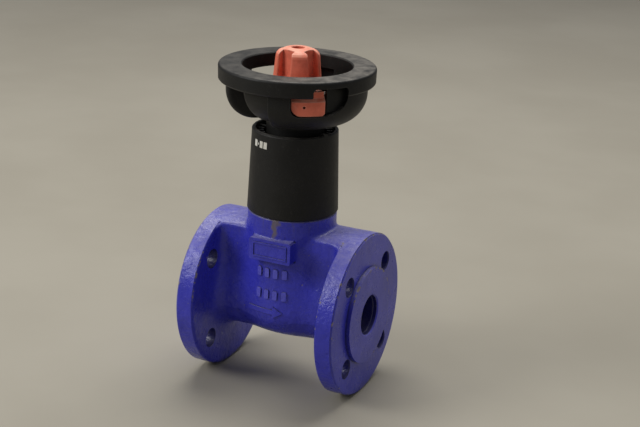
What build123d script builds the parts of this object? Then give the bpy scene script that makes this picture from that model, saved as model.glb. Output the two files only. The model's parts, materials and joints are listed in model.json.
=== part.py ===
from build123d import *
import os
from math import cos, hypot, radians, sin

os.makedirs("parts", exist_ok=True)

# Flanged shut-off valve with a non-rising handwheel, DN 25, PN 16. Millimetres.
# The model is built round the stem axis, with the pipe axis at z = 0 and the flow along +X,
# and is written with its origin at the centre of the inlet flange's sealing face.

# ---- driving dimensions ----
FACE_TO_FACE = 125.0
FLANGE_R = 57.5
FLANGE_T = 13.0
RAISED_R = 34.0
RAISED_T = 3.0
BOLT_CIRCLE_R = 42.5
BOLT_HOLE_R = 7.0
BOLT_COUNT = 4
PORT_R = 14.0
PORT_DEPTH = 36.0
PORT_CHAMFER = 1.0
PASSAGE_R = 15.0

BARREL_R = 24.5
BARREL_FLARE_R = 11.0
NECK_R = 31.0
NECK_WAIST_R = 29.7
NECK_TAPER_Z = (44.0, 56.0)
NECK_BOTTOM_ARC_R = 20.0
NECK_TOP_Z = 67.6
NECK_BORE_R = 24.0
WEB_HALF_WIDTH = 19.0
CHAMBER_R = 20.0
CHAMBER_BOTTOM_Z = -17.0
LEDGE_Z = 30.0
WALL_T = 4.0
SEAT_PLATE_Z = 5.0
SEAT_BORE_R = 12.0
SEAT_LIP_R = 15.0
SEAT_Z = 8.3

STROKE = 6.75
THREAD_PITCH = 3.0
STEM_R = 6.0
ROD_R = 4.0
RUN = 0.05

COVER_BOTTOM_Z = 68.2
COVER_TOP_Z = 126.0
COVER_BOTTOM_R = 31.7
COVER_TOP_R = 29.7
COVER_WALL = 2.6
RIB_COUNT = 24

WHEEL_TOP_Z = 170.0
WHEEL_R = 53.7
WHEEL_HOLE_R = 37.5
SKIRT_BOTTOM_Z = 159.0
PLATE_UNDER_Z = 166.8
# Centre radius, centre height and arc radius of the lobes' rounded outer faces.
FULL_BOWL = (28.2, 152.4, 20.0)
SHALLOW_BOWL = (20.5, 161.9, 27.9)
BOWL_WALL = 3.2
# The wheel is clocked so that its pocket faces the front, on the outlet side.
WHEEL_CLOCK = -65.0

HALF = FACE_TO_FACE / 2


# ---- helpers ----
def turned(points):
    """A solid turned about the stem axis from its half section, as (radius, z) points."""
    outline = Polyline(*[(r, 0, z) for r, z in points], close=True)
    return revolve(make_face(outline), Axis.Z)


def ring(r_in, r_out, z_low, z_high):
    """A plain ring round the stem axis."""
    return turned([(r_in, z_low), (r_out, z_low), (r_out, z_high), (r_in, z_high)])


def rod(radius, z_low, z_high):
    """A plain disc or rod on the stem axis."""
    return Pos(0, 0, z_low) * Cylinder(
        radius, z_high - z_low, align=(Align.CENTER, Align.CENTER, Align.MIN)
    )


def hex_rod(across_flats, z_low, z_high):
    """A hexagonal bar on the stem axis."""
    side = RegularPolygon(across_flats / 2, 6, major_radius=False)
    return Pos(0, 0, z_low) * extrude(side, z_high - z_low)


def cross_rod(radius, length, z):
    """A level rod across the stem axis, along Y."""
    return Pos(0, 0, z) * (Rot(X=90) * Cylinder(radius, length))


def o_ring(centre_r, cord_r, z):
    """A round-section ring lying level."""
    return Pos(0, 0, z) * Torus(centre_r, cord_r)


def block(x0, x1, y0, y1, z0, z1):
    """A box between two corners."""
    size = Box(x1 - x0, y1 - y0, z1 - z0)
    return Pos((x0 + x1) / 2, (y0 + y1) / 2, (z0 + z1) / 2) * size


def sector(start, end, z_low, z_high, reach=70.0):
    """A wedge from the stem axis between two wheel angles, under 170 degrees apart."""
    steps = 6
    angles = [start + (end - start) * i / steps for i in range(steps + 1)]
    far = [(reach * cos(radians(a)), reach * sin(radians(a))) for a in angles]
    face = make_face(Polyline((0, 0), *far, close=True))
    return Pos(0, 0, z_low) * extrude(face, z_high - z_low)


def write(name, shape):
    """Moves a shape so that the inlet face centre is the origin, and writes its file."""
    shape = Pos(HALF, 0, 0) * shape
    shape.label = name
    export_step(shape, f"parts/{name}.step")


# ---- cast body ----
def barrel():
    """The flanges and the barrel between them, turned about the pipe axis."""
    back = HALF - RAISED_T - FLANGE_T
    front = HALF - RAISED_T
    edge = 1.0
    flare = BARREL_FLARE_R
    start = back - flare
    mid = flare * (1 - cos(radians(45)))
    half = [
        Line((0, BARREL_R), (start, BARREL_R)),
        ThreePointArc(
            (start, BARREL_R),
            (start + flare * sin(radians(45)), BARREL_R + mid),
            (back, BARREL_R + flare),
        ),
        Polyline(
            (back, BARREL_R + flare),
            (back, FLANGE_R - edge),
            (back + edge, FLANGE_R),
            (front - edge, FLANGE_R),
            (front, FLANGE_R - edge),
            (front, RAISED_R),
            (HALF, RAISED_R),
            (HALF, 0),
            (0, 0),
            (0, BARREL_R),
        ),
    ]
    side = revolve(make_face(half), Axis.X)
    turned_body = Rot(X=-90) * side
    return turned_body + mirror(turned_body, Plane.YZ)


def neck():
    """The upright neck, slightly waisted and closed by a rounded bottom inside the barrel."""
    waist, bend = NECK_WAIST_R, NECK_BOTTOM_ARC_R
    floor_r = waist - bend
    lip = 0.8
    outline = [
        Polyline(
            (floor_r, 0, -bend),
            (0, 0, -bend),
            (0, 0, NECK_TOP_Z),
            (NECK_R - lip, 0, NECK_TOP_Z),
            (NECK_R, 0, NECK_TOP_Z - lip),
            (NECK_R, 0, NECK_TAPER_Z[1]),
            (waist, 0, NECK_TAPER_Z[0]),
            (waist, 0, 0),
        ),
        ThreePointArc(
            (waist, 0, 0),
            (floor_r + bend * cos(radians(45)), 0, -bend * sin(radians(45))),
            (floor_r, 0, -bend),
        ),
    ]
    return revolve(make_face(outline), Axis.Z)


def webs():
    """The thick web that runs level with the flange rims' top, from flange to flange."""
    back = HALF - RAISED_T - FLANGE_T
    into_flange = 2.0
    half_l, half_w = back + into_flange, WEB_HALF_WIDTH
    upright = block(-half_l, half_l, -half_w, half_w, 0, FLANGE_R + 1)
    rim = Rot(Y=90) * Cylinder(FLANGE_R, 2 * HALF)
    return upright & rim


def cast_marks():
    """The blank raised pad, two rows of plain bars and the flow arrow on the neck's front."""
    pad_w, pad_low, pad_high, pad_y = 31.5, 38.0, 53.5, 34.0
    pad = block(-pad_w / 2, pad_w / 2, -pad_y, -10, pad_low, pad_high)
    pad = chamfer(pad.edges().filter_by(Axis.Y), 1.0)
    border = block(-13, 13, -pad_y - 0.6, -pad_y + 1, 40.5, 51)
    border -= block(-12, 12, -pad_y - 2, -pad_y + 2, 41.5, 50)
    marks = Part()
    bar_w, bar_h, pitch, columns = 3.4, 6.5, 6.4, 4
    for row_z in (28.3, 12.5):
        for i in range(columns):
            x = (i - (columns - 1) / 2) * pitch
            bar = RectangleRounded(bar_w, bar_h, 0.9)
            marks += extrude(Plane.XZ.offset(10) * Pos(x, row_z) * bar, 30)
    tail, neck_x, tip, half_w, half_head = -17, 2, 9, 1.6, 4.2
    arrow = make_face(
        Polyline(
            (tail, -half_w), (neck_x, -half_w), (neck_x, -half_head), (tip, 0),
            (neck_x, half_head), (neck_x, half_w), (tail, half_w), close=True,
        )
    )
    marks += extrude(Plane.XZ.offset(10) * arrow, 30)
    proud = 0.9
    marks &= Pos(0, 0, 15) * Cylinder(NECK_WAIST_R + proud, 60)
    return pad + border + marks


def partition():
    """The S-shaped wall between inlet and outlet, with the raised seat in its level part."""
    x_flat, x_end, z_end = 15.5, 25.0, 19.0
    h = WALL_T / 2
    z = SEAT_PLATE_Z
    outline = Polyline(
        (-x_end, z_end + h),
        (-x_flat, z + h),
        (x_flat + 1, z + h),
        (x_end, -z_end + h),
        (x_end, -z_end - h),
        (x_flat - 1, z - h),
        (-x_flat, z - h),
        (-x_end, z_end - h),
        close=True,
    )
    wall = extrude(Plane.XZ.offset(-CHAMBER_R - 1) * make_face(outline), 2 * CHAMBER_R + 2)
    lip = rod(SEAT_LIP_R, z, SEAT_Z)
    return wall + lip - rod(SEAT_BORE_R, z - WALL_T, SEAT_Z + 1)


def at_bolts(shape, x):
    """Copies of a shape at every bolt of both flanges, x being its distance from the stem."""
    copies = []
    for i in range(BOLT_COUNT):
        a = radians(45 + 360 / BOLT_COUNT * i)
        for side in (-1, 1):
            copies.append(Pos(side * x, BOLT_CIRCLE_R * cos(a), BOLT_CIRCLE_R * sin(a)) * shape)
    return copies


def hollow():
    """Both machined ports, the cast passage between them and the chamber under the ledge."""
    room_outline = [
        Polyline(
            (7, 0, CHAMBER_BOTTOM_Z), (0, 0, CHAMBER_BOTTOM_Z), (0, 0, LEDGE_Z),
            (CHAMBER_R, 0, LEDGE_Z), (CHAMBER_R, 0, -5),
        ),
        ThreePointArc((CHAMBER_R, 0, -5), (16, 0, -12.5), (7, 0, CHAMBER_BOTTOM_Z)),
    ]
    room = revolve(make_face(room_outline), Axis.Z)
    room += Rot(Y=90) * Cylinder(PASSAGE_R, 2 * (HALF - PORT_DEPTH))
    return room + Rot(Y=90) * Cylinder(PORT_R, 2 * HALF + 2)


def valve_body():
    back = HALF - RAISED_T - FLANGE_T
    flanged = barrel()
    for hole in at_bolts(Rot(Y=90) * Cylinder(BOLT_HOLE_R, FLANGE_T + 2), back + FLANGE_T / 2):
        flanged -= hole
    solid = flanged + webs() + neck() + cast_marks()
    cone = Rot(Y=90) * Cone(
        PORT_R, PORT_R + PORT_CHAMFER, PORT_CHAMFER,
        align=(Align.CENTER, Align.CENTER, Align.MAX),
    )
    mouth = Pos(HALF, 0, 0) * cone
    inside = hollow()
    solid -= inside
    solid -= mouth + mirror(mouth, Plane.YZ)
    solid += partition() & inside
    solid -= rod(NECK_BORE_R, LEDGE_Z, NECK_TOP_Z + 1)
    return solid


# ---- inside the neck ----
CLAMP_T = 3.0
BONNET_Z = LEDGE_Z + 2 * CLAMP_T + 0.2
PAD_R = 15.4
PAD_TOP_Z = 17.0
STUD_Z = SEAT_Z + 1.5
STUD_R = 2.5
STUD_HEAD_R = 6.0
STUD_HEAD_T = 2.0


def diaphragm():
    """Moulded rubber: clamped rim, rolling wall and the thick pad that closes the seat."""
    rim_in, rim_out = CHAMBER_R - 0.2, NECK_BORE_R - 0.2
    head_r = STUD_HEAD_R + 0.1
    head_low, head_high = STUD_Z - 0.1, STUD_Z + STUD_HEAD_T + 0.1
    return turned([
        (0, SEAT_Z), (PAD_R, SEAT_Z), (PAD_R + 0.8, SEAT_Z + 1.2), (PAD_R + 0.8, 14.5),
        (19.2, 27.5), (rim_in, LEDGE_Z), (rim_out, LEDGE_Z), (rim_out, LEDGE_Z + CLAMP_T),
        (18.0, LEDGE_Z + CLAMP_T), (17.2, 28.5), (PAD_R - 0.8, PAD_TOP_Z), (2.6, PAD_TOP_Z),
        (2.6, head_high), (head_r, head_high), (head_r, head_low), (0, head_low),
    ])


def clamp_ring():
    return ring(18.4, NECK_BORE_R - 0.2, LEDGE_Z + CLAMP_T, LEDGE_Z + 2 * CLAMP_T)


PLUG_Z = PAD_TOP_Z + 0.1
PLUG_TOP_Z = 32.0
PIN_R = 1.5
PLUG_PIN_Z = PLUG_TOP_Z - 4


def diaphragm_stud():
    """The headed stud moulded into the pad, whose shank screws into the plug."""
    return rod(STUD_R, STUD_Z, PLUG_Z + 6) + rod(STUD_HEAD_R, STUD_Z, STUD_Z + STUD_HEAD_T)


def plug():
    """The iron plug that presses the diaphragm down, socketed for the stem's end."""
    shape = turned([
        (0, PLUG_Z), (14.2, PLUG_Z), (14.2, PLUG_Z + 3), (9.5, PLUG_Z + 7),
        (9.5, PLUG_TOP_Z), (0, PLUG_TOP_Z),
    ])
    shape -= rod(STUD_R + 0.1, PLUG_Z - 1, PLUG_Z + 6.5)
    shape -= rod(STEM_R + 0.1, PLUG_Z + 7, PLUG_TOP_Z + 1)
    return shape - cross_rod(PIN_R + 0.1, 30, PLUG_PIN_Z)


def plug_pin():
    """The cross pin that holds the plug on the stem."""
    return cross_rod(PIN_R, 18.6, PLUG_PIN_Z)


GUIDE_Z = 74.0
THREAD_LOW_Z = 83.0
THREAD_TOP_Z = 113.0
STEM_TOP_Z = 170.0
CLIP_Z = (160.4, 166.5)
CLIP_T = 1.1


def stem():
    """The non-turning stem: plain shaft, coarse left-hand thread, thin rod up to the indicator."""
    root_r = STEM_R - 1.2
    outline = [(0, PLUG_Z + 7.2), (STEM_R, PLUG_Z + 7.2), (STEM_R, THREAD_LOW_Z)]
    turns = int((THREAD_TOP_Z - THREAD_LOW_Z) / THREAD_PITCH)
    for i in range(turns):
        z = THREAD_LOW_Z + i * THREAD_PITCH
        outline += [(root_r, z + 0.4), (root_r, z + 1.4), (STEM_R, z + 1.8), (STEM_R, z + THREAD_PITCH)]
    outline += [
        (ROD_R, THREAD_TOP_Z + 1), (ROD_R, STEM_TOP_Z - 1), (ROD_R - 1, STEM_TOP_Z), (0, STEM_TOP_Z),
    ]
    shape = turned(outline)
    shape -= cross_rod(PIN_R + 0.1, 30, PLUG_PIN_Z)
    shape -= cross_rod(PIN_R + RUN, 30, GUIDE_Z)
    for z in CLIP_Z:
        shape -= ring(ROD_R - 0.5, ROD_R + 1, z - 0.05, z + CLIP_T + 0.05)
    return shape


def guide_pin():
    """The cross pin that slides in the bonnet's slot and stops the stem from turning."""
    return cross_rod(PIN_R, 22, GUIDE_Z)


BONNET_FLANGE_R = 27.9
BONNET_NECK_R = 17.0
BONNET_TOP_Z = 104.0
NUT_ROOM_Z = 84.0
NUT_ROOM_R = 13.1
ORING_Z = (53.0, 60.0)


def bonnet():
    """Screwed into the neck: clamps the diaphragm, guides the stem and houses the stem nut."""
    shape = turned([
        (0, BONNET_Z), (NECK_BORE_R - 0.1, BONNET_Z), (NECK_BORE_R - 0.1, NECK_TOP_Z + 0.1),
        (BONNET_FLANGE_R, NECK_TOP_Z + 0.1), (BONNET_FLANGE_R, 77), (BONNET_NECK_R, 80),
        (BONNET_NECK_R, BONNET_TOP_Z), (0, BONNET_TOP_Z),
    ])
    shape -= rod(16.5, BONNET_Z - 1, 45)
    shape -= rod(STEM_R + RUN, 40, BONNET_TOP_Z)
    shape -= rod(NUT_ROOM_R, NUT_ROOM_Z, BONNET_TOP_Z + 1)
    for z in ORING_Z:
        shape -= ring(5, 9.2, z - 1.7, z + 1.7)
    shape -= ring(5, 9.2, 66, 69.2)
    shape -= rod(9.2, 45, 49.4)
    shape -= block(-1.6, 1.6, -12, 12, GUIDE_Z - 1.7, NUT_ROOM_Z + 1)
    shape -= ring(NECK_BORE_R - 2.6, NECK_BORE_R + 1, 62, 65.4)
    return shape - ring(BONNET_FLANGE_R - 1.9, BONNET_FLANGE_R + 1, 71.8, 74.4)


def stem_bush():
    """The plain plastic bush that centres the stem below its seals."""
    return ring(STEM_R + RUN, 9.15, 45.1, 49.4)


def bonnet_o_ring():
    return o_ring(NECK_BORE_R - 1.3, 1.25, 63.7)


def stem_o_rings():
    rings = [o_ring(STEM_R + 1.6, 1.5, z) for z in ORING_Z]
    return Compound(children=rings)


def wiper_ring():
    return turned([
        (STEM_R + 0.08, 67.6), (STEM_R + 0.9, 66.1), (9.1, 66.1), (9.1, 69.1), (STEM_R + 0.08, 69.1),
    ])


def cover_o_ring():
    return o_ring(BONNET_FLANGE_R - 0.8, 1.05, 73.1)


# ---- drive ----
WASHER_T = 2.0
NUT_FLANGE_T = 5.0


def lower_thrust_washer():
    return ring(9.9, 12.9, NUT_ROOM_Z, NUT_ROOM_Z + WASHER_T)


NUT_Z = NUT_ROOM_Z + WASHER_T + 0.05


def stem_nut():
    """The bronze nut that turns with the wheel, held between the thrust washers."""
    shape = turned([
        (0, NUT_Z), (12.7, NUT_Z), (12.7, NUT_Z + NUT_FLANGE_T), (9.5, NUT_Z + NUT_FLANGE_T),
        (9.5, HUB_Z), (0, HUB_Z),
    ])
    shape += Rot(Z=WHEEL_CLOCK) * hex_rod(15.0, HUB_Z, HUB_TOP_Z - 0.2)
    shape += rod(6.0, HUB_TOP_Z - 0.2, 157)
    shape -= rod(STEM_R + RUN, NUT_Z - 1, THREAD_TOP_Z + STROKE + 1.5)
    return shape - rod(ROD_R + RUN + 0.1, 100, 160)


def upper_thrust_washer():
    low = NUT_Z + NUT_FLANGE_T + 0.05
    return ring(9.7, 12.9, low, low + WASHER_T)


def retaining_nut():
    """The slotted ring nut that holds the stem nut down in the bonnet."""
    low = NUT_Z + NUT_FLANGE_T + 0.05 + WASHER_T
    shape = ring(9.8, NUT_ROOM_R - 0.05, low, BONNET_TOP_Z + 1)
    for i in range(4):
        shape -= Rot(Z=90 * i) * block(11.2, 14, -1.5, 1.5, BONNET_TOP_Z - 2, BONNET_TOP_Z + 2)
    return shape


# ---- black cover ----
def bonnet_cover():
    """The insulating sleeve over the bonnet, with a ribbed ring inside its open top."""
    inner_low = BONNET_FLANGE_R + 0.5
    inner_top = COVER_TOP_R - COVER_WALL
    shape = turned([
        (inner_low, COVER_BOTTOM_Z), (COVER_BOTTOM_R - 0.5, COVER_BOTTOM_Z),
        (COVER_BOTTOM_R, COVER_BOTTOM_Z + 0.5), (COVER_TOP_R, COVER_TOP_Z - 0.9),
        (COVER_TOP_R - 0.9, COVER_TOP_Z), (inner_top + 0.4, COVER_TOP_Z),
        (inner_top, COVER_TOP_Z - 0.4), (inner_top, 114), (21.4, 114), (21.4, 111.5),
        (inner_top, 111.5), (inner_low, 82),
    ])
    rib = block(21.6, inner_top + 0.6, -1.0, 1.0, 113.5, COVER_TOP_Z - 2.4)
    for i in range(RIB_COUNT):
        shape += Rot(Z=360 / RIB_COUNT * i) * rib
    mark = block(inner_top - 1.6, COVER_TOP_R - 0.6, -1.6, 1.6, COVER_TOP_Z - 3, COVER_TOP_Z + 0.8)
    return shape + Rot(Z=WHEEL_CLOCK + 46) * mark


# ---- handwheel ----
HUB_Z = 124.0
HUB_TOP_Z = 146.0
HUB_R = 20.0
COLLAR_IN_R = 17.8
COLLAR_TOP_Z = 151.4
INNER_SKIRT_R = 39.0
INNER_SKIRT_Z = 160.3
GUIDE_WALL_R = (36.0, 38.8)
# Start and end angle, outer profile, and whether each end is rounded.
LOBES = (
    (-48.0, -22.0, SHALLOW_BOWL, (-48.0,)),
    (-22.0, 110.0, FULL_BOWL, (110.0,)),
    (134.0, 200.0, FULL_BOWL, (134.0, 200.0)),
    (-122.0, -75.0, FULL_BOWL, (-122.0, -75.0)),
)
POCKET_AT = 20.0
ARM_AT = 14.0
TAB_R = (39.3, 46.0)


def bowl(profile, wall):
    """The solid round the stem axis inside a lobe's outer face, moved in by the wall."""
    centre_r, centre_z, arc_r = profile
    r = arc_r - wall
    side = centre_r + r
    floor = centre_z - r
    k = cos(radians(45))
    outline = [
        Polyline(
            (centre_r, 0, floor), (0, 0, floor), (0, 0, PLATE_UNDER_Z),
            (side, 0, PLATE_UNDER_Z), (side, 0, centre_z),
        ),
        ThreePointArc(
            (side, 0, centre_z), (centre_r + r * k, 0, centre_z - r * k), (centre_r, 0, floor)
        ),
    ]
    return revolve(make_face(outline), Axis.Z)


def lobes():
    """The cupped lobes under the rim, open at the top and closed by side walls."""
    shape = Part()
    low, high = 125.0, 175.0
    for start, end, profile, rounded in LOBES:
        lobe = bowl(profile, 0) & sector(start, end, low, high)
        corners = lobe.edges().filter_by(lambda e: is_lobe_corner(e, rounded, profile))
        lobe = fillet(corners, 3.0)
        wall_start = 4.5 if start in rounded else 1.8
        wall_end = 4.5 if end in rounded else 1.8
        cup = bowl(profile, BOWL_WALL) & sector(start + wall_start, end - wall_end, low, high)
        lobe -= cup - rod(HUB_R, low, high)
        shape += lobe
    well = turned([
        (0, COLLAR_TOP_Z), (24, COLLAR_TOP_Z), (WHEEL_HOLE_R, 155), (WHEEL_HOLE_R, 180), (0, 180),
    ])
    return shape - well


def is_lobe_corner(edge, ends, profile):
    """True on the edges where a lobe's outer face meets one of the given ends."""
    middle = edge.position_at(0.5)
    if hypot(middle.X, middle.Y) < profile[0] + 2:
        return False
    if edge.position_at(0).Z > PLATE_UNDER_Z - 0.1 and edge.position_at(1).Z > PLATE_UNDER_Z - 0.1:
        return False
    for a in ends:
        x, y = cos(radians(a)), sin(radians(a))
        if abs(middle.X * y - middle.Y * x) < 0.01 and middle.X * x + middle.Y * y > 0:
            return True
    return False


def rim():
    """The flat-topped grip rim, hollow underneath, with a deep outer and a thin inner skirt."""
    top, under = WHEEL_TOP_Z, PLATE_UNDER_Z
    edge = 1.9
    k = edge * (1 - cos(radians(45)))
    outline = [
        Line((WHEEL_HOLE_R + 0.8, 0, top), (WHEEL_R - edge, 0, top)),
        ThreePointArc(
            (WHEEL_R - edge, 0, top), (WHEEL_R - k, 0, top - k), (WHEEL_R, 0, top - edge)
        ),
        Polyline(
            (WHEEL_R, 0, top - edge), (WHEEL_R - 0.2, 0, SKIRT_BOTTOM_Z + 1),
            (WHEEL_R - 1.0, 0, SKIRT_BOTTOM_Z), (50.6, 0, SKIRT_BOTTOM_Z), (50.0, 0, under),
            (INNER_SKIRT_R, 0, under), (INNER_SKIRT_R, 0, INNER_SKIRT_Z),
            (WHEEL_HOLE_R, 0, INNER_SKIRT_Z), (WHEEL_HOLE_R, 0, top - 0.8),
            (WHEEL_HOLE_R + 0.8, 0, top),
        ),
    ]
    return revolve(make_face(outline), Axis.Z)


def pocket():
    """The window in the front lobe: upright on the left, swept up on the right."""
    z_low, z_mid, left, right = 144.8, 158.0, -19.2, 20.8
    outline = make_face([
        Polyline((0, z_low), (left + 6.5, z_low)),
        RadiusArc((left + 6.5, z_low), (left, z_low + 6.5), 6.5),
        Polyline((left, z_low + 6.5), (left, PLATE_UNDER_Z), (right, PLATE_UNDER_Z), (right, z_mid)),
        EllipticalCenterArc((0, z_mid), right, z_mid - z_low, start_angle=270, arc_size=90),
    ])
    plane = Plane(origin=(0, 0, 0), x_dir=(0, 1, 0), z_dir=(1, 0, 0))
    opening = extrude(plane * outline, 60)
    opening &= rod(50.0, 130, 175) - rod(GUIDE_WALL_R[1], 120, 180)
    notch = block(40, 60, -6.7, 18.5, 150, 165.4)
    notch = fillet(notch.edges().filter_by(Axis.X), 2.5)
    return opening + (notch - rod(GUIDE_WALL_R[1], 120, 180))


def handwheel():
    hub = turned([
        (0, HUB_Z), (17.0, HUB_Z), (17.0, 117), (HUB_R - 0.8, 117), (HUB_R - 0.2, 118),
        (HUB_R, 131.3), (23.5, 139), (HUB_R, 144),
        (HUB_R, COLLAR_TOP_Z), (COLLAR_IN_R, COLLAR_TOP_Z), (COLLAR_IN_R, HUB_TOP_Z), (0, HUB_TOP_Z),
    ])
    wall_in, wall_out = GUIDE_WALL_R
    inside = bowl(FULL_BOWL, BOWL_WALL - 0.5)
    low_wall = ring(wall_in, wall_out, 130, COLLAR_TOP_Z) & sector(-11, 60, 125, 175)
    high_wall = ring(41.8, 44.8, 130, PLATE_UNDER_Z) & sector(27.2, 52, 125, 175)
    ribs = block(HUB_R - 1, 46, -1.5, 1.5, 130, 155)
    ribs -= turned([(0, COLLAR_TOP_Z), (24, COLLAR_TOP_Z), (WHEEL_HOLE_R, 155), (24, 180), (0, 180)])
    rib_set = (Rot(Z=-10) * ribs + Rot(Z=51) * ribs) & inside
    shape = lobes() + rim() + hub
    shape -= Rot(Z=POCKET_AT) * pocket()
    shape += (low_wall + high_wall) & inside
    shape += rib_set
    shape -= Rot(Z=ARM_AT) * block(30, 41, -7.2, 7.2, 150, 165.5)
    shape -= ring(INNER_SKIRT_R, 47, PLATE_UNDER_Z - 2, 168.4) & sector(10.5, 27.0, 150, 175)
    shape -= hex_rod(15.1, HUB_Z - 1, HUB_TOP_Z + 1)
    shape -= rod(COLLAR_IN_R, HUB_TOP_Z, WHEEL_TOP_Z)
    return Rot(Z=WHEEL_CLOCK) * shape


def wheel_washer():
    return ring(6.2, 11.0, HUB_TOP_Z, HUB_TOP_Z + 1.8)


def wheel_nut():
    low = HUB_TOP_Z + 1.8
    shape = hex_rod(18.0, low, low + 7)
    shape &= turned([
        (0, low), (9.4, low), (10.4, low + 1), (10.4, low + 6), (9.4, low + 7), (0, low + 7),
    ])
    return shape - rod(6.0, low - 1, low + 8)


# ---- red position indicator ----
CROWN_TOP_Z = 181.5
CROWN_CORE_R = 9.2
SLOT_LOW_Z = 160.0
SLOT_HALF_WIDTH = 5.0
FINGER_AT = 6.0
TAB_TOP_Z = 157.7
RAISED_TAB_Z = 161.4


def crown():
    """The hollow domed crown, slotted into four fingers round a central core."""
    shape = turned([
        (11.6, 147), (17.2, 147), (17.2, 150), (16.9, 150.6), (16.5, SLOT_LOW_Z), (15.0, 176.0),
        (14.5, 177.6), (13.4, 178.9), (11.8, 179.9), (8.5, 181.0), (6.0, CROWN_TOP_Z),
        (5.0, CROWN_TOP_Z), (4.5, CROWN_TOP_Z - 0.5), (4.5, 178), (6.9, 178), (6.9, 166.2),
        (ROD_R + RUN, 166.2), (ROD_R + RUN, 161.8), (6.9, 161.8), (6.9, 158.2), (11.6, 158.2),
    ])
    half_w = SLOT_HALF_WIDTH
    slot = block(CROWN_CORE_R, 20, -half_w, half_w, SLOT_LOW_Z, CROWN_TOP_Z + 1)
    for i in range(4):
        shape -= Rot(Z=FINGER_AT + 45 + 90 * i) * slot
    return fillet([e for e in shape.edges() if is_finger_corner(e)], 1.3)


def is_finger_corner(edge):
    """True for the long upright edges at the outside of a finger."""
    low, high = sorted((edge.position_at(0).Z, edge.position_at(1).Z))
    middle = edge.position_at(0.5)
    return low > SLOT_LOW_Z - 0.1 and high - low > 12 and hypot(middle.X, middle.Y) > 13


def indicator_tab():
    """The tab that shows in the wheel's pocket, taller on its right, with a sealing-wire hole."""
    low, top, radius = 145.5, TAB_TOP_Z, 6.5
    left, right = -11.3, 11.3
    face = make_face([
        Polyline(
            (left + radius, low), (right - 1.6, low), (right, low + 1.6), (right, top),
            (left, top), (left, low + radius),
        ),
        RadiusArc((left, low + radius), (left + radius, low), -radius),
    ])
    plane = Plane(origin=(0, 0, 0), x_dir=(0, 1, 0), z_dir=(1, 0, 0))
    inner_r, outer_r = TAB_R
    sloped = turned([
        (inner_r, low - 1), (outer_r, low - 1), (outer_r, top - 2.7), (outer_r - 3.4, top),
        (inner_r, top),
    ])
    tab = Rot(Z=11) * extrude(plane * face, 60) & sloped
    tab += ring(inner_r, outer_r - 2.5, top - 1, RAISED_TAB_Z) & sector(12.5, 25.2, 150, 165)
    wire_hole = Rot(Z=7.5) * (Pos(43, 0, 151.5) * (Rot(Y=90) * Cylinder(0.9, 12)))
    return tab - wire_hole


def position_indicator():
    """The red crown that rides up with the stem, and its arm and tab in the wheel's pocket."""
    arm = Rot(Z=ARM_AT) * block(13, 40.5, -6.6, 6.6, 152, TAB_TOP_Z)
    return Rot(Z=WHEEL_CLOCK) * (crown() + arm + indicator_tab())


def indicator_clips():
    """The two spring clips on the stem's end that carry the indicator between them."""
    clips = []
    for z in CLIP_Z:
        clip = ring(ROD_R - 0.45, 6.2, z, z + CLIP_T) - block(0, 8, -1.2, 1.2, z - 1, z + 2)
        clips.append(Rot(Z=90) * clip)
    return Compound(children=clips)


PIECES = (
    valve_body, diaphragm, clamp_ring, diaphragm_stud, plug, plug_pin, stem, guide_pin, bonnet,
    stem_bush, bonnet_o_ring, stem_o_rings, wiper_ring, cover_o_ring, lower_thrust_washer,
    stem_nut, upper_thrust_washer, retaining_nut, bonnet_cover, handwheel, wheel_washer,
    wheel_nut, position_indicator, indicator_clips,
)

for piece in PIECES:
    write(piece.__name__, piece())
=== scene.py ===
import json
import math

import bmesh
import bpy
import numpy as np
from mathutils import Matrix, Vector


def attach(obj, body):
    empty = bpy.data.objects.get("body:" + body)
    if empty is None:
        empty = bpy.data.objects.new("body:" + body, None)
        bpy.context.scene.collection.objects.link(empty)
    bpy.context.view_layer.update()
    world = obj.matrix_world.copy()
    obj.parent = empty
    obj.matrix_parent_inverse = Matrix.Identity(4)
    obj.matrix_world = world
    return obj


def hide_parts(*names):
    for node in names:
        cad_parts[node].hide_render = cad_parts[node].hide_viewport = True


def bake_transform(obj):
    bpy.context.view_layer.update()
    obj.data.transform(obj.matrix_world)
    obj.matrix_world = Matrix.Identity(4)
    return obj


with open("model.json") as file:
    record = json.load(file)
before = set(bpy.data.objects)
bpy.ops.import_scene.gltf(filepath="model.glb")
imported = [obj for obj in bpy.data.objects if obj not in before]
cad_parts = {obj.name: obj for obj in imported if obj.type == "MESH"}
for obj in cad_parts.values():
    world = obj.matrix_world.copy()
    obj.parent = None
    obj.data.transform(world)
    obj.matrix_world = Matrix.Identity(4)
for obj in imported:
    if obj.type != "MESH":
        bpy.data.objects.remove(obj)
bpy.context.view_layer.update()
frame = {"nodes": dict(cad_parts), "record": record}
NODES = frame["nodes"]

# ---- places on the CAD model that the looks hang on, in metres ----
STEM_X = 0.0625
FLOOR_Z = -0.0575
BOLT_YZ = 0.03005
BOLT_HOLE_R = 0.0070
PORT_R = 0.0140
# Radius from the pipe axis and distance from the stem of each edge that gets knocked.
KNOCKED_EDGES = ((0.0573, 0.0467), (0.0573, 0.0593), (0.034, 0.0625))
# The dirty run down the neck's front starts here, under the cover.
STREAK_X = 0.0645
STREAK_TOP_Z = 0.0675
# The two rows of cast bars: their faces' radii from the stem, half their width, their heights.
BARS_INNER_R, BARS_OUTER_R = 0.0303, 0.0315
BARS_HALF_X = 0.0122
BARS_LOW_Z, BARS_HIGH_Z = 0.0085, 0.0325

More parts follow.
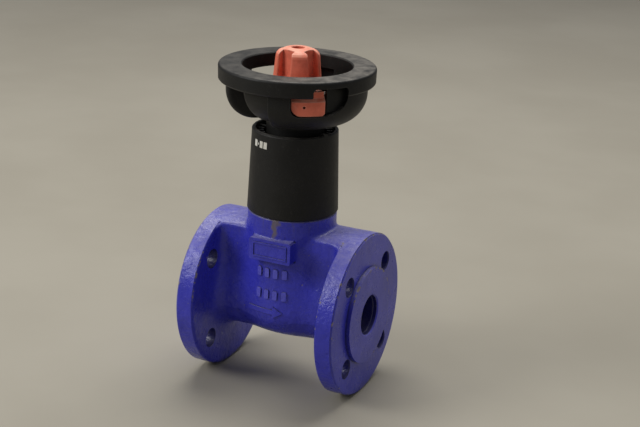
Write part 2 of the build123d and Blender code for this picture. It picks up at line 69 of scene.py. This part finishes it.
# ---- sizes of the CAD casting in mm, with x counted from the stem axis ----
FLANGE_BACK = 46.5
RIM_R = 57.5
NECK_R = 31.0
WAIST_R = 29.7
WAIST_TOP, TAPER_TOP = 44.0, 56.0
NECK_TOP = 66.5
BOWL_FLAT_R = 9.7
BOWL_BEND_R = 20.0
WEB_HALF = 19.0
BARREL_R = 24.5
FLARE_R = 11.0
PAD_HALF_X, PAD_FRONT_Y = 15.75, -34.0
PAD_MID_Z, PAD_HALF_Z = 45.75, 7.75
# The cast marks stand out from the skin by less than this.
MARK_HEIGHT = 1.6

# ---- how far the cast corners run together, in mm ----
WEB_TO_BARREL = 11.0
WEB_TO_FLANGE, BARREL_TO_FLANGE = 8.5, 11.5
NECK_AT_RIM, NECK_INSIDE = 3.0, 9.0
SMALL_CORNER = 2.2
# A mesh point this close to a CAD face lies on it.
ON_FACE = 0.06
# In metres: the longest edge left in the cast skin, and the passage's radius squared.
FINE_EDGE = 0.0017
CORE_R_SQUARED = 0.0005

# ---- the cover's tapered side, and the printed bars on it, in mm ----
COVER_LOW_Z, COVER_LOW_R = 68.7, 31.7
COVER_HIGH_Z, COVER_HIGH_R = 125.1, 29.7
INK = 0.05
# First angle and sweep in degrees, lower edge and upper edge of each bar.
PRINT_BARS = (
    (-127.0, 5.6, 115.8, 120.4), (-119.6, 2.0, 117.4, 118.8), (-115.8, 5.6, 115.8, 120.4),
    (-108.4, 5.6, 115.8, 120.4),
)

# ---- the stage, in metres ----
FLOOR_REACH = 6.0
LIT_POINT = (STEM_X, 0, 0.05)
LENS_MM = 83.04
CAMERA_PLACE = (0.48845, -0.87606, 0.39778)
CAMERA_RIGHT = (0.90132, 0.43134, 0.03956)
CAMERA_UP = (-0.17380, 0.27650, 0.94517)


# ---- node-tree helpers ----
class Tree:
    """A material's node tree, built by calls that return sockets."""

    def __init__(self, name):
        self.material = bpy.data.materials.new(name)
        self.material.use_nodes = True
        self.tree = self.material.node_tree
        self.tree.nodes.clear()
        self.out = self.tree.nodes.new("ShaderNodeOutputMaterial")
        self.shader = self.tree.nodes.new("ShaderNodeBsdfPrincipled")
        self.tree.links.new(self.shader.outputs[0], self.out.inputs[0])
        self.place = self.add("ShaderNodeTexCoord").outputs["Object"]

    def add(self, kind, inputs=None, **settings):
        node = self.tree.nodes.new(kind)
        for key, value in settings.items():
            setattr(node, key, value)
        for key, value in (inputs or {}).items():
            self.put(node.inputs[key], value)
        return node

    def put(self, socket, value):
        if isinstance(value, bpy.types.NodeSocket):
            self.tree.links.new(value, socket)
        else:
            socket.default_value = value

    def math(self, operation, a, b=0.0):
        return self.add("ShaderNodeMath", {0: a, 1: b}, operation=operation).outputs[0]

    def product(self, *values):
        result = values[0]
        for value in values[1:]:
            result = self.math("MULTIPLY", result, value)
        return result

    def length(self, a, b):
        """How far a point with these two coordinates is from the origin."""
        return self.math("SQRT", self.math("ADD", self.product(a, a), self.product(b, b)))

    def open_air(self, distance):
        """1 in the open, lower in corners and hollows of about this size."""
        node = self.add("ShaderNodeAmbientOcclusion", {"Distance": distance}, samples=6)
        return node.outputs["AO"]

    def rounded_normal(self, radius):
        return self.add("ShaderNodeBevel", {"Radius": radius}, samples=6).outputs[0]

    def noise(self, scale, detail=4.0, rough=0.55, where=None):
        inputs = {"Vector": where or self.place, "Scale": scale, "Detail": detail, "Roughness": rough}
        return self.add("ShaderNodeTexNoise", inputs).outputs["Fac"]

    def stretched(self, scale):
        """Object coordinates scaled by a different amount along each axis."""
        inputs = {"Vector": self.place, "Scale": scale}
        return self.add("ShaderNodeMapping", inputs).outputs[0]

    def step(self, value, low, high):
        """0 below low, 1 above high, smooth between."""
        inputs = {"Value": value, "From Min": low, "From Max": high}
        node = self.add("ShaderNodeMapRange", inputs, interpolation_type="SMOOTHSTEP")
        return node.outputs["Result"]

    def mix(self, share, a, b):
        node = self.add("ShaderNodeMix", data_type="RGBA")
        self.put(node.inputs["Factor"], share)
        for socket, value in zip([s for s in node.inputs if s.type == "RGBA"], (a, b)):
            self.put(socket, (*value, 1.0) if isinstance(value, tuple) else value)
        return [s for s in node.outputs if s.type == "RGBA"][0]

    def blend(self, share, a, b):
        """a at share 0, b at share 1, for plain numbers."""
        node = self.add("ShaderNodeMapRange", {"Value": share, "To Min": a, "To Max": b})
        return node.outputs["Result"]

    def axes(self):
        node = self.add("ShaderNodeSeparateXYZ", {0: self.place})
        return node.outputs[0], node.outputs[1], node.outputs[2]

    def facing_up(self):
        normal = self.add("ShaderNodeNewGeometry").outputs["Normal"]
        return self.add("ShaderNodeSeparateXYZ", {0: normal}).outputs[2]

    def convex_edge(self, radius):
        """1 on convex edges, where the rounded normal turns away from the true one."""
        true = self.add("ShaderNodeNewGeometry").outputs["Normal"]
        inputs = {0: self.rounded_normal(radius), 1: true}
        agree = self.add("ShaderNodeVectorMath", inputs, operation="DOT_PRODUCT").outputs["Value"]
        convex = self.step(self.open_air(0.003), 0.55, 0.8)
        return self.product(self.step(agree, 0.985, 0.86), convex)

    def bump(self, height, strength, distance, below=None, soft_edge=0.0):
        inputs = {"Height": height, "Strength": strength, "Distance": distance}
        if below is not None:
            inputs["Normal"] = below
        elif soft_edge:
            inputs["Normal"] = self.rounded_normal(soft_edge)
        return self.add("ShaderNodeBump", inputs).outputs[0]

    def finish(self, colour, roughness, normal, metal=0.0, specular=0.5):
        put = self.put
        put(self.shader.inputs["Base Color"], colour)
        put(self.shader.inputs["Roughness"], roughness)
        put(self.shader.inputs["Normal"], normal)
        self.shader.inputs["Metallic"].default_value = metal
        self.shader.inputs["Specular IOR Level"].default_value = specular
        return self.material


# ---- materials ----
def bare_iron(t, x, z, across, radius):
    """1 where the enamel is off: knocked edges, the outlet rim's top most, and a few specks."""
    near = None
    for edge_r, edge_x in KNOCKED_EDGES:
        away = t.length(t.math("SUBTRACT", radius, edge_r), t.math("SUBTRACT", across, edge_x))
        near = away if near is None else t.math("MINIMUM", near, away)
    edge = t.step(near, 0.0024, 0.0)
    outlet_top = t.product(t.step(x, 0.100, 0.104), t.step(z, 0.008, 0.030))
    wear = t.math("ADD", t.noise(210, 5, 0.65), t.product(t.noise(26, 3), 0.55))
    wear = t.math("ADD", wear, t.product(outlet_top, 0.05))
    chips = t.step(t.math("ADD", wear, t.product(edge, 0.16)), 1.040, 1.068)
    chips = t.product(chips, t.step(edge, 0.02, 0.25))
    specks = t.step(t.noise(330, 2, 0.5), 0.735, 0.76)
    return t.math("MAXIMUM", chips, specks)


def raised_bars(t, y, z, across):
    """1 on the outer faces of the two rows of cast bars, which stand proud of the neck and get a
    painted highlight.
    """
    around = t.length(across, y)
    over = t.step(around, BARS_INNER_R, BARS_INNER_R + 0.0002)
    under = t.step(around, BARS_OUTER_R, BARS_OUTER_R - 0.0003)
    beside = t.step(across, BARS_HALF_X, BARS_HALF_X - 0.0004)
    above = t.step(z, BARS_LOW_Z, BARS_LOW_Z + 0.0004)
    below = t.step(z, BARS_HIGH_Z, BARS_HIGH_Z - 0.0005)
    return t.product(over, under, beside, above, below)


def in_holes(t, y, z, across, radius):
    """1 inside the bolt holes and the port, which get painted shade."""
    from_y = t.math("SUBTRACT", t.math("ABSOLUTE", y), BOLT_YZ)
    from_z = t.math("SUBTRACT", t.math("ABSOLUTE", z), BOLT_YZ)
    wall = t.step(t.length(from_y, from_z), BOLT_HOLE_R + 0.00015, BOLT_HOLE_R - 0.00005)
    back = FLANGE_BACK / 1000
    in_bolt = t.product(wall, t.step(across, back - 0.0005, back - 0.0001))
    return t.math("MAXIMUM", in_bolt, t.step(radius, PORT_R + 0.00025, PORT_R))


def front_run(t, x, y, z, streaks):
    """1 in the ragged dirty run that narrows down the neck's front."""
    ragged = t.product(t.math("SUBTRACT", t.noise(190, 3, 0.6), 0.5), 0.010)
    aside = t.math("ABSOLUTE", t.math("ADD", t.math("SUBTRACT", x, STREAK_X), ragged))
    narrowing = t.product(t.math("SUBTRACT", STREAK_TOP_Z, z), 0.20)
    run = t.step(t.math("ADD", aside, narrowing), 0.0042, 0.0024)
    run = t.product(run, t.step(t.math("ADD", z, ragged), 0.052, 0.058))
    return t.product(run, t.step(y, -0.020, -0.028), t.step(streaks, 0.30, 0.52))


def blue_enamel():
    """Blue enamel brushed over a sand casting, chipped on its edges, with painted shade in the corners
    and holes, a painted highlight on the cast bars, and dust with a painted sheen on top.
    """
    t = Tree("blue_enamel")
    x, y, z = t.axes()
    across = t.math("ABSOLUTE", t.math("SUBTRACT", x, STEM_X))
    radius = t.length(y, z)
    bare = bare_iron(t, x, z, across, radius)

    shade = t.step(t.noise(38, 5, 0.6), 0.3, 0.7)
    colour = t.mix(shade, (0.028, 0.031, 0.40), (0.044, 0.047, 0.52))
    # Painted shade: darkened in the hollows and corners that occlusion over 12 mm finds.
    colour = t.mix(t.step(t.open_air(0.012), 0.80, 0.25), colour, (0.012, 0.012, 0.085))
    # Painted shade: darker still in the tight creases, around the cast bars too.
    crease_shade = t.product(t.step(t.open_air(0.0024), 0.82, 0.45), 0.75)
    colour = t.mix(crease_shade, colour, (0.010, 0.010, 0.045))
    # Painted highlight: the cast bars' outer faces are made lighter blue.
    colour = t.mix(t.product(raised_bars(t, y, z, across), 0.60), colour, (0.13, 0.13, 0.64))
    # Dust and painted sheen: up-facing faces are made paler and lavender-grey.
    dust_and_sheen = t.product(t.step(t.facing_up(), 0.35, 0.95), t.step(t.noise(210, 6, 0.8), 0.05, 0.80))
    colour = t.mix(t.product(dust_and_sheen, 0.56), colour, (0.40, 0.38, 0.52))
    # Painted shade: the bolt holes and the port are darkened.
    hole_shade = t.product(in_holes(t, y, z, across, radius), 0.80)
    colour = t.mix(hole_shade, colour, (0.012, 0.011, 0.040))

    streaks = t.noise(1.0, 4, 0.6, where=t.stretched((330, 330, 45)))
    runs = t.product(t.step(z, 0.040, 0.068), t.step(streaks, 0.52, 0.70))
    colour = t.mix(t.product(runs, 0.30), colour, (0.075, 0.062, 0.070))
    run = t.product(front_run(t, x, y, z, streaks), 0.78)
    colour = t.mix(run, colour, (0.150, 0.122, 0.088))
    iron = t.mix(t.noise(420, 3), (0.085, 0.070, 0.072), (0.36, 0.31, 0.29))
    colour = t.mix(bare, colour, iron)

    skin = t.math("ADD", t.noise(240, 6, 0.6), t.product(t.noise(75, 3, 0.5), 1.4))
    unmachined = t.math("SUBTRACT", 1.0, t.step(across, 0.0585, 0.0592))
    cast_skin = t.product(skin, t.blend(unmachined, 0.22, 1.0))
    normal = t.bump(cast_skin, 0.85, 0.0008)
    normal = t.bump(t.noise(800, 4, 0.6), 0.45, 0.00025, below=normal)
    normal = t.bump(t.math("SUBTRACT", 1.0, bare), 0.5, 0.00012, below=normal)
    rough = t.math("MAXIMUM", t.blend(t.noise(120, 4), 0.20, 0.38), t.product(bare, 0.75))
    return t.finish(colour, rough, normal)


def black_nylon():
    """Glass-filled black nylon: grainy, rubbed grey with a painted highlight on edges and high spots,
    dusty on top with a painted sheen that grows towards the right.
    """
    t = Tree("black_nylon")
    mottled = t.step(t.noise(55, 5, 0.6), 0.3, 0.75)
    colour = t.mix(mottled, (0.0045, 0.0044, 0.0042), (0.0088, 0.0085, 0.0078))
    scuff = t.step(t.noise(1.0, 6, 0.7, where=t.stretched((260, 260, 130))), 0.60, 0.74)
    colour = t.mix(t.product(scuff, 0.32), colour, (0.060, 0.057, 0.052))
    # Edge wear and painted highlight: convex edges are made lighter grey.
    wear_and_edge_highlight = t.product(t.convex_edge(0.0011), t.blend(t.noise(330, 4), 0.1, 0.6))
    colour = t.mix(wear_and_edge_highlight, colour, (0.075, 0.071, 0.064))
    # Dust and painted sheen on up-facing faces, stronger towards the right.
    sheen_to_right = t.blend(t.step(t.axes()[0], 0.030, 0.100), 0.35, 1.0)
    dust_and_top_sheen = t.product(t.step(t.facing_up(), 0.6, 1.0), t.step(t.noise(95, 6, 0.7), 0.25, 0.75))
    colour = t.mix(t.product(dust_and_top_sheen, sheen_to_right, 0.80), colour, (0.21, 0.192, 0.165))
    specks = t.step(t.noise(2600, 1, 0.4), 0.66, 0.74)
    colour = t.mix(t.product(specks, 0.35), colour, (0.09, 0.088, 0.08))
    grain = t.math("ADD", t.noise(1500, 3, 0.6), t.product(t.noise(300, 4, 0.5), 0.8))
    normal = t.bump(grain, 0.30, 0.00022, soft_edge=0.0007)
    return t.finish(colour, t.blend(t.noise(160, 5, 0.6), 0.42, 0.60), normal, specular=0.32)


def red_nylon():
    """Faded orange-red moulding, bleached and painted lighter on top, paler on its edges, with dark
    grease and painted shade in its corners.
    """
    t = Tree("red_nylon")
    mottled = t.step(t.noise(120, 4, 0.6), 0.3, 0.7)
    colour = t.mix(mottled, (0.72, 0.150, 0.082), (0.88, 0.205, 0.120))
    # Bleaching and painted light from above: up-facing faces are made paler.
    bleach_and_top_light = t.product(t.step(t.facing_up(), 0.15, 0.95), t.step(t.noise(170, 5), 0.25, 0.62))
    colour = t.mix(t.product(bleach_and_top_light, 0.62), colour, (0.86, 0.46, 0.33))
    # Edge wear and painted highlight: convex edges are made paler.
    colour = t.mix(t.product(t.convex_edge(0.0012), 0.55), colour, (0.88, 0.52, 0.40))
    # Grease and painted shade: darker in the corners that occlusion finds.
    grease_and_shade = t.product(t.step(t.open_air(0.007), 0.78, 0.30), t.step(t.noise(260, 5, 0.6), 0.25, 0.7))
    colour = t.mix(t.product(grease_and_shade, 0.70), colour, (0.10, 0.020, 0.013))
    scuff = t.step(t.noise(1.0, 5, 0.7, where=t.stretched((420, 420, 160))), 0.62, 0.72)
    colour = t.mix(t.product(scuff, 0.35), colour, (0.72, 0.33, 0.24))
    grain = t.math("ADD", t.noise(1400, 3, 0.6), t.noise(330, 3, 0.5))
    normal = t.bump(grain, 0.28, 0.00020, soft_edge=0.0007)
    return t.finish(colour, t.blend(t.noise(190, 4), 0.42, 0.62), normal)


def turned_metal(name, dark, light, smooth, rough, rings=5200.0):
    """A lathe-turned metal: fine rings across the stem axis, with stains and handling marks."""
    t = Tree(name)
    tool = t.noise(1.0, 2, 0.5, where=t.stretched((60, 60, rings)))
    stain = t.noise(140, 5, 0.65)
    colour = t.mix(t.step(stain, 0.3, 0.72), dark, light)
    colour = t.mix(t.product(t.step(tool, 0.5, 0.75), 0.25), colour, light)
    marks = t.math("ADD", tool, t.product(t.noise(700, 3), 0.4))
    normal = t.bump(marks, 0.22, 0.00010, soft_edge=0.0003)
    roughness = t.blend(t.math("ADD", stain, t.product(tool, 0.2)), smooth, rough)
    return t.finish(colour, roughness, normal, metal=1.0)


def grey_iron():
    """Bare grey iron: machined, with dark graphite specks and a film of oil."""
    t = Tree("grey_iron")
    mottled = t.step(t.noise(90, 5, 0.6), 0.3, 0.7)
    colour = t.mix(mottled, (0.13, 0.13, 0.135), (0.24, 0.235, 0.23))
    specks = t.step(t.noise(900, 3, 0.6), 0.55, 0.7)
    colour = t.mix(t.product(specks, 0.6), colour, (0.05, 0.05, 0.05))
    grain = t.math("ADD", t.noise(500, 5, 0.6), t.noise(1500, 2))
    normal = t.bump(grain, 0.35, 0.00018, soft_edge=0.0003)
    return t.finish(colour, t.blend(t.noise(220, 4), 0.38, 0.62), normal, metal=0.85)


def moulded_rubber():
    """Black EPDM: matt, faintly mottled, with a talc bloom and moulding grain."""
    t = Tree("moulded_rubber")
    mottled = t.step(t.noise(45, 4), 0.3, 0.7)
    colour = t.mix(mottled, (0.009, 0.009, 0.010), (0.018, 0.018, 0.018))
    bloom = t.step(t.noise(150, 6, 0.7), 0.45, 0.8)
    colour = t.mix(t.product(bloom, 0.4), colour, (0.07, 0.068, 0.064))
    normal = t.bump(t.math("ADD", t.noise(800, 4, 0.6), t.noise(2200, 2)), 0.3, 0.00015)
    return t.finish(colour, t.blend(t.noise(200, 4), 0.62, 0.85), normal, specular=0.35)


def white_plastic(name):
    """Off-white plastic or ink with faint yellowing and fine grain."""
    t = Tree(name)
    yellowed = t.step(t.noise(90, 5, 0.6), 0.3, 0.7)
    colour = t.mix(yellowed, (0.62, 0.60, 0.53), (0.76, 0.75, 0.70))
    soiled = t.product(t.step(t.noise(700, 4, 0.7), 0.5, 0.75), 0.3)
    colour = t.mix(soiled, colour, (0.30, 0.28, 0.24))
    normal = t.bump(t.noise(1300, 3, 0.5), 0.2, 0.00012)
    return t.finish(colour, t.blend(t.noise(240, 4), 0.38, 0.58), normal)


def pale_floor():
    t = Tree("pale_floor")
    cloudy = t.step(t.noise(5, 4, 0.5), 0.3, 0.7)
    colour = t.mix(cloudy, (0.325, 0.300, 0.245), (0.355, 0.330, 0.272))
    normal = t.bump(t.noise(90, 3, 0.5), 0.03, 0.0005)
    return t.finish(colour, t.blend(t.noise(12, 3), 0.50, 0.60), normal, specular=0.3)


def dress(node, material):
    """Gives a CAD node or a new piece its one material."""
    node.data.materials.clear()
    node.data.materials.append(material)


# ---- making pieces ----
def in_scene(name, data):
    """A new object for this mesh, light or camera, put into the scene."""
    thing = bpy.data.objects.new(name, data)
    bpy.context.scene.collection.objects.link(thing)
    return thing


def new_piece(name, verts, faces):
    """A piece with joined corners and all its faces turned outwards."""
    mesh = bpy.data.meshes.new(name)
    mesh.from_pydata(verts, [], faces)
    bm = bmesh.new()
    bm.from_mesh(mesh)
    bmesh.ops.remove_doubles(bm, verts=bm.verts, dist=1e-6)
    bmesh.ops.recalc_face_normals(bm, faces=bm.faces)
    bm.to_mesh(mesh)
    bm.free()
    return in_scene(name, mesh)


def around_stem(r, angle, z):
    """The point in metres at this radius and height in mm, this far round the stem in radians."""
    return (STEM_X + r * math.cos(angle) / 1000, r * math.sin(angle) / 1000, z / 1000)


FINISH = {
    "grey_iron": grey_iron(),
    "steel": turned_metal("turned_steel", (0.30, 0.30, 0.31), (0.56, 0.56, 0.57), 0.24, 0.46),
    "zinc_steel": turned_metal("zinc_plate", (0.42, 0.41, 0.36), (0.66, 0.65, 0.60), 0.28, 0.50, 900.0),
    "brass": turned_metal("turned_brass", (0.45, 0.29, 0.10), (0.70, 0.50, 0.21), 0.24, 0.46),
    "epdm": moulded_rubber(),
    "white_plastic": white_plastic("white_acetal"),
    "black_plastic": black_nylon(),
    "red_plastic": red_nylon(),
    "painted_iron": blue_enamel(),
}
for part in frame["record"]["subparts"]:
    dress(NODES[part["node"]], FINISH[part["material_slot"]])


# ---- cast body: the CAD shape with its cast corners run together ----
def soft_min(a, b, k):
    """The smaller of two distances, blended where they differ by less than k."""
    h = np.clip(k - np.abs(a - b), 0, None) / k
    return np.minimum(a, b) - h * h * k / 4


def cast_parts(p):
    """Distances in mm to the neck, web, barrel, flange and pad, and the rim's cylinder."""
    x, y, z = p[:, 0], p[:, 1], p[:, 2]
    around = np.hypot(x, y)
    radial = np.hypot(y, z)
    bowl = np.hypot(np.clip(around - BOWL_FLAT_R, 0, None), z) - BOWL_BEND_R
    side = around - np.interp(z, (WAIST_TOP, TAPER_TOP), (WAIST_R, NECK_R))
    neck = np.where(z < 0, bowl, side)
    web = np.maximum(np.abs(y) - WEB_HALF, -z)
    barrel = radial - BARREL_R
    flange = FLANGE_BACK - np.abs(x)
    above_pad = np.abs(z - PAD_MID_Z) - PAD_HALF_Z
    box = np.stack([np.abs(x) - PAD_HALF_X, PAD_FRONT_Y - y, above_pad], 1)
    pad = np.linalg.norm(np.clip(box, 0, None), axis=1) + np.minimum(box.max(1), 0)
    return neck, web, barrel, flange, pad, radial - RIM_R


def soft_cast(p):
    """Distance to the cast skin with foundry fillets between its parts."""
    neck, web, barrel, flange, pad, rim = cast_parts(p)
    at_flange = np.interp(web - barrel, (-6.0, 6.0), (WEB_TO_FLANGE, BARREL_TO_FLANGE))
    low = soft_min(soft_min(web, barrel, WEB_TO_BARREL), flange, at_flange)
    low = -soft_min(-low, -rim, SMALL_CORNER)
    at_neck = np.interp(-rim, (0.0, 8.0), (NECK_AT_RIM, NECK_INSIDE))
    return soft_min(soft_min(low, neck, at_neck), pad, SMALL_CORNER)


def hard_cast(p):
    """Distance to the cast skin as the CAD solid has it, the barrel's flares included."""
    neck, web, barrel, flange, pad, rim = cast_parts(p)
    into_flare = np.clip(np.abs(p[:, 0]) - (FLANGE_BACK - FLARE_R), 0, FLARE_R)
    barrel = barrel - (FLARE_R - np.sqrt(np.clip(FLARE_R**2 - into_flare**2, 0, None)))
    web = np.maximum(web, rim)
    whole = np.minimum(np.minimum(neck, web), np.minimum(barrel, np.maximum(flange, rim)))
    return np.minimum(whole, pad)


def slope_of(distance, points, probe=0.02):
    """How fast the distance grows along x, y and z at each point."""
    rises = [distance(points + probe * axis) - distance(points - probe * axis) for axis in np.eye(3)]
    return np.stack(rises, 1) / (2 * probe)


def drawn_to_skin(points, wanted, rounds=12, longest_move=0.8):
    """The points moved until each has its wanted distance from the filleted skin."""
    for _ in range(rounds):
        slope = slope_of(soft_cast, points)
        steepness = np.clip((slope**2).sum(1), 0.25, None)
        move = ((soft_cast(points) - wanted) / steepness)[:, None] * slope
        length = np.linalg.norm(move, axis=1, keepdims=True)
        points = points - move * np.minimum(1.0, longest_move / np.maximum(length, 1e-9))
    return points


def refine(mesh, longest, wanted, rounds=9):
    """Splits the edges longer than this in the wanted region, over and over."""
    bm = bmesh.new()
    bm.from_mesh(mesh)
    bmesh.ops.remove_doubles(bm, verts=bm.verts, dist=2e-6)
    for _ in range(rounds):
        long_edges = [
            e for e in bm.edges
            if e.calc_length() > longest and any(wanted(v.co) for v in e.verts)
        ]
        if not long_edges:
            break
        bmesh.ops.subdivide_edges(bm, edges=long_edges, cuts=1)
        faces = [f for f in bm.faces if len(f.verts) > 3]
        bmesh.ops.triangulate(bm, faces=faces, quad_method="SHORT_EDGE", ngon_method="BEAUTY")
    bm.to_mesh(mesh)
    bm.free()


def in_cast_zone(co):
    """True between the flanges and below the neck's top, away from the passage."""
    between = abs(co.x - STEM_X) < (FLANGE_BACK + 1.0) / 1000
    return between and co.z < NECK_TOP / 1000 and co.y * co.y + co.z * co.z > CORE_R_SQUARED


def cast_body():
    """A copy of the CAD body whose cast skin is drawn out to the filleted surface."""
    mesh = NODES["valve_body"].data.copy()
    mesh.name = "cast_body"
    if "custom_normal" in mesh.attributes:
        mesh.attributes.remove(mesh.attributes["custom_normal"])
    refine(mesh, FINE_EDGE, in_cast_zone)
    co = np.empty(len(mesh.vertices) * 3, np.float32)
    mesh.vertices.foreach_get("co", co)
    centre = np.array([STEM_X * 1000.0, 0, 0])
    p = co.reshape(-1, 3).astype(float) * 1000.0 - centre
    level = hard_cast(p)
    between_flanges = np.abs(p[:, 0]) < FLANGE_BACK + 0.05
    on_skin = (level > -ON_FACE) & (level < MARK_HEIGHT)
    chosen = between_flanges & (p[:, 2] < NECK_TOP) & on_skin
    # The faces of the cast marks keep their height over the skin.
    level[np.abs(level) < ON_FACE] = 0.0
    p[chosen] = drawn_to_skin(p[chosen], level[chosen])
    mesh.vertices.foreach_set("co", ((p + centre) / 1000.0).astype(np.float32).ravel())
    mesh.update()
    mesh.shade_smooth()
    mesh.set_sharp_from_angle(angle=math.radians(38))
    body = in_scene("cast_body", mesh)
    dress(body, FINISH["painted_iron"])
    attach(body, "root")
    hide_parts("valve_body")


cast_body()


# ---- moulded diaphragm ----
def lathe(name, outline, steps):
    """A smooth piece turned about the stem axis from a closed run of (radius, height) points."""
    verts, faces = [], []
    count = len(outline)
    for i in range(steps):
        angle = 2 * math.pi * i / steps
        verts.extend(around_stem(r, angle, z) for r, z in outline)
    for i in range(steps):
        a, b = i * count, ((i + 1) % steps) * count
        for j in range(count):
            k = (j + 1) % count
            faces.append((a + j, b + j, b + k, a + k))
    piece = new_piece(name, verts, faces)
    piece.data.shade_smooth()
    return piece


def rounded(points, radius, cuts=3, share=0.45):
    """The outline with each corner off the axis cut to a short curved run of points."""
    out = []
    count = len(points)
    for i, corner in enumerate(points):
        here = Vector(corner)
        before, after = Vector(points[i - 1]), Vector(points[(i + 1) % count])
        if here.x < 0.01:
            out.append(tuple(here))
            continue
        r = min(radius, (before - here).length * share, (after - here).length * share)
        start = here + (before - here).normalized() * r
        end = here + (after - here).normalized() * r
        for j in range(cuts + 1):
            t = j / cuts
            out.append(tuple(start * (1 - t) ** 2 + here * (2 * t * (1 - t)) + end * t**2))
    return out


def diaphragm():
    """The rubber disc with rounded edges."""
    outline = [
        (0.0, 8.3), (15.4, 8.3), (16.2, 9.5), (16.2, 14.5), (19.2, 27.5), (19.8, 30.05), (23.75, 30.05),
        (23.75, 32.95), (18.05, 32.95), (17.2, 28.5), (14.6, 16.95), (2.65, 16.95), (2.65, 12.0),
        (6.15, 12.0), (6.15, 9.65), (0.0, 9.65),
    ]
    piece = lathe("rubber_diaphragm", rounded(outline, 0.9), 96)
    dress(piece, FINISH["epdm"])
    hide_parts("diaphragm")
    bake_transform(piece)


diaphragm()


# ---- plain white bars on the cover, in place of its printing ----
def on_cover(angle, z, lift):
    """The point on the cover's side at this angle in degrees, lifted off it by some mm."""
    r = COVER_LOW_R + (COVER_HIGH_R - COVER_LOW_R) * (z - COVER_LOW_Z) / (COVER_HIGH_Z - COVER_LOW_Z)
    return around_stem(r + lift, math.radians(angle), z)


def cover_print(cols=6):
    """Short plain bars of white ink, each a thin curved plate in so many columns."""
    verts, faces = [], []
    for start, sweep, low, high in PRINT_BARS:
        base = len(verts)
        for i in range(cols + 1):
            for z, lift in ((low, 0.0), (high, 0.0), (high, INK), (low, INK)):
                verts.append(on_cover(start + sweep * i / cols, z, lift))
        end = base + 4 * cols
        for a in range(base, end, 4):
            b = a + 4
            for j in range(4):
                k = (j + 1) % 4
                faces.append((a + j, a + k, b + k, b + j))
        faces.append((base + 3, base + 2, base + 1, base))
        faces.append((end, end + 1, end + 2, end + 3))
    piece = new_piece("cover_print", verts, faces)
    dress(piece, white_plastic("white_ink"))
    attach(piece, "root")


cover_print()


# ---- floor, light and camera ----
def floor():
    corners = ((-1, -1), (1, -1), (1, 1), (-1, 1))
    mesh = bpy.data.meshes.new("floor")
    verts = [(x * FLOOR_REACH, y * FLOOR_REACH, FLOOR_Z) for x, y in corners]
    mesh.from_pydata(verts, [], [(0, 1, 2, 3)])
    plane = in_scene("floor", mesh)
    dress(plane, pale_floor())


def area_light(name, place, size, power, colour):
    """A rectangular lamp turned towards the middle of the valve."""
    light = bpy.data.lights.new(name, "AREA")
    light.shape = "RECTANGLE"
    light.size, light.size_y = size
    light.energy = power
    light.color = colour
    lamp = in_scene(name, light)
    lamp.location = place
    aim = Vector(LIT_POINT) - Vector(place)
    lamp.rotation_mode = "QUATERNION"
    lamp.rotation_quaternion = aim.to_track_quat("-Z", "Y")


def lights():
    area_light("overhead", (-0.1, 0.55, 1.55), (1.6, 1.1), 26.0, (1.0, 0.985, 0.95))
    area_light("left_front", (-1.10, -1.05, 1.05), (0.8, 0.8), 17.0, (1.0, 0.99, 0.97))
    area_light("right_side", (1.3, -0.6, 0.9), (0.8, 0.8), 0.8, (0.97, 0.98, 1.0))
    world = bpy.data.worlds.new("room")
    bpy.context.scene.world = world
    world.use_nodes = True
    ground = world.node_tree.nodes["Background"]
    ground.inputs["Color"].default_value = (0.93, 0.94, 1.0, 1.0)
    ground.inputs["Strength"].default_value = 0.22


def camera():
    """The camera of the photo: its place, lens and turn come from the fit to the flanges."""
    lens = bpy.data.cameras.new("camera")
    lens.lens = LENS_MM
    lens.sensor_width = 36.0
    lens.clip_start, lens.clip_end = 0.05, 50.0
    eye = in_scene("camera", lens)
    right = Vector(CAMERA_RIGHT)
    up = Vector(CAMERA_UP)
    turn = Matrix((right, up, right.cross(up))).transposed().to_4x4()
    eye.matrix_world = Matrix.Translation(CAMERA_PLACE) @ turn
    bpy.context.scene.camera = eye


floor()
lights()
camera()
bpy.context.scene.view_settings.view_transform = "Standard"
